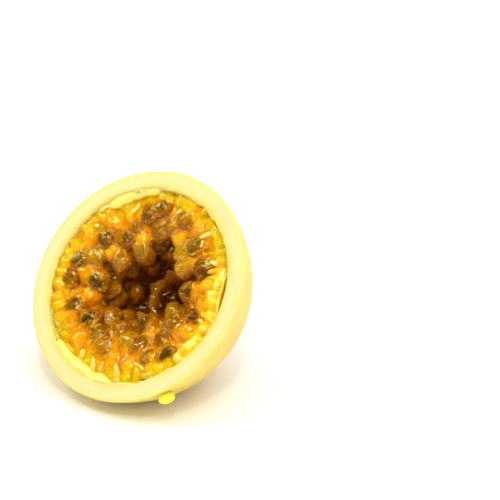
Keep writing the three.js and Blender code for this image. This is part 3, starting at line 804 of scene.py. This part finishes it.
def bed_shape():
    """The loose flesh that the arils lie in, from the wall down into the hollow."""
    inset = PULP_INSET - FLESH_SPREADS[1]
    edge = (shell_radius(inset, BED_EDGE_DEPTH), -BED_EDGE_DEPTH)
    under = shell_arc(inset, BED_EDGE_DEPTH, 24)
    outline = [*under, *map(tuple, smooth_outline([edge, *BED_OUTLINE], 60)[1:-1])]
    low_pole = CUT_PAST_EQUATOR - FRUIT_HALF_LENGTH + inset
    points, faces = closed_turned(outline, BED_SIDES, low_pole, BED_OUTLINE[-1][1])
    ring = np.append(np.repeat(np.arange(len(outline)), BED_SIDES), [0, len(outline) - 1])
    on_top = ring >= len(under)
    radius, angle = polar_of(points)
    share = np.where(on_top, 1 - hump(edge[0] - radius, edge[0] - HOLLOW_REACH), 0)
    points = around_hollow(radius, angle, points[:, 2], share)
    inward = smooth_step(0, 2.5, edge[0] - radius) * on_top
    points[:, 2] += inward * (0.9 * noise_at(points, 3.2, 9) + 0.2)
    return points, faces


def upper_sac(place, draw):
    """An aril of the upper face, by the CAD source's own rule."""
    degrees, reach, turned, width, clearness = place
    angle = math.radians(degrees)
    depth = UPPER_DEPTH + UPPER_SLOPE * (UPPER_OUT - reach) + UPPER_VARIES * (2 * draw() - 1)
    seed_at = polar(reach, angle, -depth)
    base = seed_at + NECK_REACH * polar(1, angle + math.radians(turned), 0)
    base[2] = -NECK_DEPTH
    base[:2] *= min(1, WALL_LIMIT / math.hypot(*base[:2]))
    way = seed_at - base
    tip = seed_at + way / np.linalg.norm(way) * ARIL_NOSE
    return {"upper": True, "base": base, "tip": tip, "width": width, "clearness": clearness,
            "along": 1 - ARIL_NOSE / np.linalg.norm(tip - base)}


def hollow_sac(row, index, draw):
    """An aril of the hollow's wall, by the CAD source's own rule."""
    count, phase, tip, base, width = row
    place, drop, shift, wider, slew = (
        size * (2 * draw() - 1) for size in HOLLOW_VARIES.values())
    angle = 2 * math.pi * (index + phase + place) / count
    tip_at = around_hollow(tip[0] + shift, angle, -tip[1] - drop, 1.0)
    base_at = around_hollow(base[0] + shift, angle + slew, -base[1] - drop, 1.0)
    base_at[:2] *= min(1, WALL_LIMIT / math.hypot(*base_at[:2]))
    return {"upper": False, "base": base_at, "tip": tip_at, "width": width + wider,
            "clearness": 0.4, "along": HOLLOW_SEED_ALONG}


def draw_sacs():
    """Every aril's place and form, then how its seed lies in it."""
    draw = seeded_random(7)
    sacs = [upper_sac(place, draw) for place in UPPER_ARILS]
    for row in HOLLOW_ROWS:
        sacs += [hollow_sac(row, index, draw) for index in range(row[0])]
    own = seeded_random(33)
    for sac in sacs:
        least, unclear, chance = SEED_COVER
        cover = least + unclear * (1 - sac["clearness"]) + chance * own()
        sac["seed_lift"] = sac["width"] / 2 * ARIL_FLATNESS - SEED_HALVES[1] - cover
        for label, spread in SEED_VARIES.items():
            sac[label] = spread * (own() - 0.5)
        sac["seedless"] = 0.85 * (sac["clearness"] < SEEDLESS)
    return sacs


def sac_axes(sac):
    """Side, up and along of a sac, as the rows of a matrix, and its length."""
    along = sac["tip"] - sac["base"]
    length = np.linalg.norm(along)
    return axes_along(along / length), length


def sac_profile(part, sac):
    """Half width of a sac at a part of the way from its base to its tip, the widest being 1."""
    if not sac["upper"]:
        return math.sin(math.pi * part ** HOLLOW_PROFILE[0]) ** HOLLOW_PROFILE[1]
    if part > sac["along"]:
        return math.sqrt(max(0.0, 1 - ((part - sac["along"]) / (1 - sac["along"])) ** 2))
    return NECK_SHARE + (1 - NECK_SHARE) * float(smooth_step(0, sac["along"], part))


def sac_body(sac, sides, rings, seed):
    """A sac's points, where they stand in the fruit, and its faces."""
    axes, length = sac_axes(sac)
    half = sac["width"] / 2
    points = []
    for k in range(1, rings):
        part = 0.5 - 0.5 * math.cos(math.pi * (0.08 + 0.92 * k / rings))
        radius = half * sac_profile(part, sac)
        for i in range(sides):
            turn = 2 * math.pi * i / sides
            points.append((radius * math.cos(turn) + sac["bend"] * math.sin(math.pi * part) ** 2,
                           radius * math.sin(turn) * ARIL_FLATNESS, length * part))
    points, faces = capped(points, sides, (0, 0, 0), (0, 0, length))
    lumps = sum(share * noise_at(points, size, seed + 0.5 * index)
                for index, (size, share) in enumerate(ARIL_LUMPS))
    points[:, :2] *= (1 + lumps)[:, None]
    return points @ axes + sac["base"], faces


def vertex_normals(points, faces):
    corners = np.array(faces)
    edge_from = points[corners[:, 0]]
    normal = np.cross(points[corners[:, 1]] - edge_from, points[corners[:, 2]] - edge_from)
    normals = np.zeros_like(points)
    for column in corners.T:
        np.add.at(normals, column, normal)
    return normals / np.maximum(np.linalg.norm(normals, axis=1), 1e-9)[:, None]


def seed_frame(sac):
    """The seed's middle in the sac's frame, its own axes there (side, up, along), half sizes."""
    middle = np.array([sac["shift"], sac["seed_lift"], sac_axes(sac)[1] * sac["along"]])
    cos, sin = math.cos(sac["turn"]), math.sin(sac["turn"])
    axes = np.array([(cos, 0, -sin), (0, 1, 0), (sin, 0, cos)])
    return middle, axes, SEED_HALVES * (1 + sac["size"])


def look_at_seed(points, normals, sac):
    """How near a straight look into the gel passes to its seed (1 at the seed's edge), and how
    clearly the seed shows through the gel above it."""
    middle, axes, halves = seed_frame(sac)
    offset = (points - middle) @ axes.T / halves
    look = -(normals @ axes.T) / halves
    look /= np.linalg.norm(look, axis=1)[:, None]
    miss = np.linalg.norm(offset - np.einsum("ij,ij->i", offset, look)[:, None] * look, axis=1)
    away = np.linalg.norm(points - middle, axis=1)
    cover = away * (1 - 1 / np.maximum(np.linalg.norm(offset, axis=1), 1))
    return miss, np.exp(-cover / GEL_CLEARNESS) * min(1, 0.3 + sac["clearness"])


def draw_lobes():
    """Seedless lobes of bright flesh at the wall, in and about the gaps between the arils."""
    draw = seeded_random(51)
    lobes = []
    for index in range(LOBE_COUNT):
        angle = 2 * math.pi * (index + 0.4 * (draw() - 0.5)) / LOBE_COUNT
        depth = 1.6 + 0.9 * draw() + LOBES_SINK * bare_wall(angle)
        reach = 26.0 + 2.8 * draw()
        lean = angle + 0.16 * (draw() - 0.5)
        tip = polar(reach, lean, -depth - 0.6 * draw())
        lobes.append(loose_sac(polar(LOBE_ROOT, angle, -depth - 0.2), tip,
                               3.2 + 1.8 * draw(), 1.4 * (draw() - 0.5)))
    return lobes


def joined_skin(bodies, grain):
    """One smooth closed skin round bodies that overlap: its points and its four-cornered faces."""
    points, faces = gathered(bodies)
    body = mesh_object("to_join", points.tolist(), faces)
    remesh = body.modifiers.new("skin", "REMESH")
    remesh.mode = "VOXEL"
    remesh.voxel_size = grain
    soften = body.modifiers.new("soften", "SMOOTH")
    soften.factor = 0.5
    soften.iterations = 3
    skin = body.evaluated_get(bpy.context.evaluated_depsgraph_get()).to_mesh()
    found = np.empty(len(skin.vertices) * 3)
    skin.vertices.foreach_get("co", found)
    skin_faces = [tuple(p.vertices) for p in skin.polygons]
    bpy.data.meshes.remove(body.data)
    return found.reshape(-1, 3), skin_faces


def beyond_sac(points, sac):
    """About how far each point stands off the sac's own skin, in mm and below 0 inside it, and
    where the point is in the sac's frame."""
    axes, length = sac_axes(sac)
    local = (points - sac["base"]) @ axes.T
    parts = np.linspace(0, 1, 25)
    reach = np.interp(np.clip(local[:, 2] / length, 0, 1), parts,
                      [sac_profile(part, sac) for part in parts])
    across = np.hypot(local[:, 0], local[:, 1] / ARIL_FLATNESS) - sac["width"] / 2 * reach
    past = np.maximum(np.maximum(-local[:, 2], local[:, 2] - length), 0)
    return np.hypot(np.maximum(across, 0), past) + np.minimum(across, 0), local


def look_of_pulp(points, normals, sacs):
    """What the material reads at each point: which aril it is on and how the seed shows there."""
    own = seeded_random(21)
    nearest = np.full(len(points), 9.0)
    second = nearest.copy()
    parts = {label: np.full(len(points), start)
             for label, start in (("hue_and_lit_crown", 0.5), ("miss", 1.0), ("clear", 0.0), ("flesh", 1.0))}
    own_place = points * (1, 1, 0.4)
    for sac in sacs:
        away, local = beyond_sac(points, sac)
        second = np.where(away < nearest, nearest, np.minimum(second, away))
        ours = away < nearest
        nearest[ours], local = away[ours], local[ours]
        axes, length = sac_axes(sac)
        miss, parts["clear"][ours] = look_at_seed(local, normals[ours] @ axes.T, sac)
        parts["miss"][ours] = np.clip(miss / 3, 0, 1)
        # The gel's tone: random for each aril, darker where the seed shows clearly, and paler on
        # each aril's crown as painted light.
        crown = local[:, 1] / (sac["width"] / 2 * ARIL_FLATNESS)
        parts["hue_and_lit_crown"][ours] = np.clip(0.55 - 0.35 * sac["clearness"] + 0.4 * (own() - 0.5)
                                     + 0.55 * (crown - 0.3), 0, 1)
        own_place[ours] = local * FIBRE_STRETCH + sac["base"]
        behind = length * sac["along"] - SEED_HALVES[2] - local[:, 2]
        parts["flesh"][ours] = np.maximum(smooth_step(-0.4, 2.6, behind) * sac["upper"],
                                          sac["seedless"])
    radius, angle = polar_of(points)
    by_wall = np.maximum(smooth_step(0.2, 0.8, nearest) * smooth_step(17, 21, radius),
                         smooth_step(28.2, 30.6, radius))
    parts["flesh"] = np.maximum(parts["flesh"], by_wall)
    # Where two arils meet, for painted crease shade and a painted pale glow at the gel's edge.
    parts["seam_shade_and_glow"] = smooth_step(1.4, 0.0, second - nearest) * smooth_step(28, 21, radius)
    parts["own_place"] = own_place
    spread = polar(26, angle, radius / 2.2)
    parts["fibre"] = np.clip(0.5 + 0.7 * noise_at(spread, 2.6, 11)
                             + 0.3 * noise_at(points, 1.2, 12)
                             + 0.45 * smooth_step(24, 31, radius), 0, 1)
    # How deep a point lies, for the hollow's painted shade.
    parts["deep"] = smooth_step(6, 24, -points[:, 2])
    return parts


def make_pulp(sacs):
    """The arils and the flesh between them, joined into one wet mass."""
    bodies = [sac_body(sac, 26, 20, index * 0.37 + 3)
              for index, sac in enumerate(sacs + draw_lobes())]
    points, faces = joined_skin([bed_shape(), *bodies], PULP_GRAIN)
    normals = vertex_normals(points, faces)
    parts = look_of_pulp(points, normals, sacs)
    covered = 1 - bare_wall(polar_of(points)[1])
    lumps = 0.30 * noise_at(points, 2.6, 60) + 0.22 * noise_at(parts["own_place"], 0.9, 62)
    lumps += (0.12 + 0.25 * parts["deep"]) * noise_at(points, 1.2, 61)
    points += normals * lumps[:, None]
    spreads = np.interp(-points[:, 2], [MEMBRANE_TOP, FILM_DEPTH], FLESH_SPREADS[::-1])
    spreads += OVER_THE_EDGE * smooth_step(-2.4, -1.6, points[:, 2]) * covered
    limit = shell_radius(PULP_INSET - spreads, -points[:, 2])
    points[:, :2] *= np.minimum(1, limit / np.maximum(polar_of(points)[0], 1e-6))[:, None]
    filled = FILLS_EDGE * smooth_step(30.6, 32.6, polar_of(points)[0]) * (normals[:, 2] > 0.2)
    points[:, 2] += filled * covered * np.maximum(-1.0 - points[:, 2], 0)
    points[:, 2] = np.minimum(points[:, 2], 0.3 * points[:, 2] - 0.4)
    points[:, 2] = np.maximum(points[:, 2], CUT_PAST_EQUATOR - FRUIT_HALF_LENGTH + PULP_INSET)
    make_piece("pulp_mass", swell(loosen(points)), faces, "pulp", pulp_material(), parts)


def seed_body(sac):
    """A flat almond, more pointed at its outer end."""
    points, faces = ball(18, 14)
    points[:, :2] *= 1 + SEED_POINTED * points[:, 2:]
    middle, axes, halves = seed_frame(sac)
    points = (points * halves) @ axes + middle
    return points @ sac_axes(sac)[0] + sac["base"], faces


def make_seeds(sacs):
    points, faces = gathered([seed_body(sac) for sac in sacs])
    make_piece("seeds", swell(loosen(points)), faces, "pulp", seed_material())


def make_juice_drop():
    """A bead of juice that hangs from the skin under the rim's lower right."""
    turn = math.radians(DROP_ANGLE)
    points, faces = ball(28, 18)
    points *= (1 + 0.10 * noise_at(points, 1.2, 40))[:, None]
    outward = polar(1, turn, -0.2)
    outward /= np.linalg.norm(outward)
    round_about = polar(1, turn + math.pi / 2, 0)
    axes = np.array([round_about, np.cross(outward, round_about), outward])
    middle = polar(shell_radius(0, DROP_DEPTH), turn, -DROP_DEPTH) + outward * DROP_HANGS
    points = (points * DROP_HALVES) @ axes + middle
    make_piece("juice_drop", points, faces, "rind", juice_material())


# ---- Stage, light and camera ----

FLOOR_HALF = 3.0


def make_floor():
    corners = [(FLOOR_HALF * x, FLOOR_HALF * y, 0) for x, y in ((-1, -1), (1, -1), (1, 1), (-1, 1))]
    floor = mesh_object("floor", corners, [(0, 1, 2, 3)])
    floor.data.materials.append(
        principled("floor_white", Base_Color=grey(0.94), Roughness=0.9).owner)
    floor.location.z = -0.0001


TENT_LEVEL = 0.85
# The same tent in reflections: darkest in this direction, from one level to another, and creamy
DARK_TOWARD = (-0.54, -0.55, 0.64)
DARK_LEVELS = (0.12, 0.02)
TENT_COLOURS = ((1.0, 0.995, 0.98, 1.0), (0.96, 0.93, 0.38, 1.0))  # plain, and in reflections
# Strips of light in reflections alone: where the middle is, which way is across, strength
STRIPS = [((0.22, -0.45, 0.86), (0.92, 0.38, -0.04), 36.0),
          ((-0.45, -0.30, 0.84), (0.35, -0.93, -0.14), 26.0)]
STRIP_HALF = (0.05, 0.09)  # its half width, full within the first and gone past the second
STRIP_ENDS = (0.90, 0.84)  # its length, the same way, as cosines
# Each lamp: where it stands, strength, spread in degrees, whether it makes highlights
LAMPS = {"overhead": ((0.42, 0.02, 1.0), 1.14, 50, False),
         "left_lamp": ((-0.34, -0.38, 0.86), 0.47, 5.5, True),
         "right_lamp": ((0.35, -0.42, 0.80), 0.5, 4.5, True)}
LAMP_COLOURS = ((1.0, 1.0, 1.0), (1.0, 0.94, 0.82))  # plain, and with highlights


def make_light():
    """A white tent and three lamps. Reflections show the tent darker with bright strips in it, so
    that wet gel glistens."""
    world = bpy.data.worlds.new("studio")
    bpy.context.scene.world = world
    sky = Nodes(world, "Background")
    place = sky.add("TexCoord", {}).outputs["Generated"]
    glossy = sky.add("LightPath", {}).outputs["Is Glossy Ray"]

    def towards(direction, low, high, low_level, high_level):
        """A level that changes with the angle between a look and a direction."""
        near = sky.add("VectorMath", {0: place, 1: Vector(direction).normalized()},
                       operation="DOT_PRODUCT").outputs["Value"]
        return sky.add("MapRange", {
            "Value": near, "From Min": low, "From Max": high, "To Min": low_level,
            "To Max": high_level}).outputs["Result"]

    tent = towards(DARK_TOWARD, 0.1, 0.8, *DARK_LEVELS)
    full, gone = STRIP_HALF
    for direction, across, strength in STRIPS:
        strip = sky.math("MULTIPLY", towards(across, gone, full, 0.0, strength),
                         towards(across, -gone, -full, 0.0, 1.0))
        strip = sky.math("MULTIPLY", strip, towards(direction, *STRIP_ENDS[::-1], 0.0, 1.0))
        tent = sky.math("ADD", tent, strip)
    level = sky.add("Mix", {"Factor": glossy, "A": TENT_LEVEL, "B": tent}).outputs["Result"]
    sky.feed(sky.surface, {"Strength": level, "Color": sky.mix(glossy, *TENT_COLOURS)})
    for name, (toward, strength, spread, shines) in LAMPS.items():
        sun = bpy.data.lights.new(name, "SUN")
        sun.energy = strength
        sun.angle = math.radians(spread)
        sun.color = LAMP_COLOURS[shines]
        lamp = new_object(name, sun)
        aim_from(lamp, Vector(toward))
        lamp.visible_glossy = shines


def aim_from(thing, toward):
    """Turns a lamp or camera that stands this way from the fruit to look back along it."""
    thing.rotation_mode = "QUATERNION"
    thing.rotation_quaternion = (-toward).to_track_quat("-Z", "Y")


def make_camera():
    sin_a, cos_a = math.sin(VIEW_AZIMUTH), math.cos(VIEW_AZIMUTH)
    sin_e, cos_e = math.sin(VIEW_ELEVATION), math.cos(VIEW_ELEVATION)
    right = Vector((cos_a, sin_a, 0))
    back = Vector((sin_a * cos_e, -cos_a * cos_e, sin_e))
    aside, below = ((pixel - PHOTO_SIZE / 2) / FOCAL_PIXELS * VIEW_DISTANCE
                    for pixel in FACE_MIDDLE_PIXEL)
    face_middle = Vector((0, -REST_BEHIND, REST_DEPTH))
    data = bpy.data.cameras.new("camera")
    data.sensor_width = SENSOR
    data.lens = FOCAL_PIXELS / PHOTO_SIZE * SENSOR
    data.clip_start, data.clip_end = 0.05, 20
    camera = new_object("camera", data)
    camera.location = MM * (face_middle + back * VIEW_DISTANCE - right * aside
                            + back.cross(right) * below)
    aim_from(camera, back)
    bpy.context.scene.camera = camera


# ---- The scene ----

bpy.context.scene.view_settings.view_transform = "Standard"
make_camera()
make_light()
make_floor()
make_rind()
make_membrane()
make_stalks()
make_frill()
all_sacs = draw_sacs()
make_pulp(all_sacs)
make_seeds(all_sacs)
make_juice_drop()
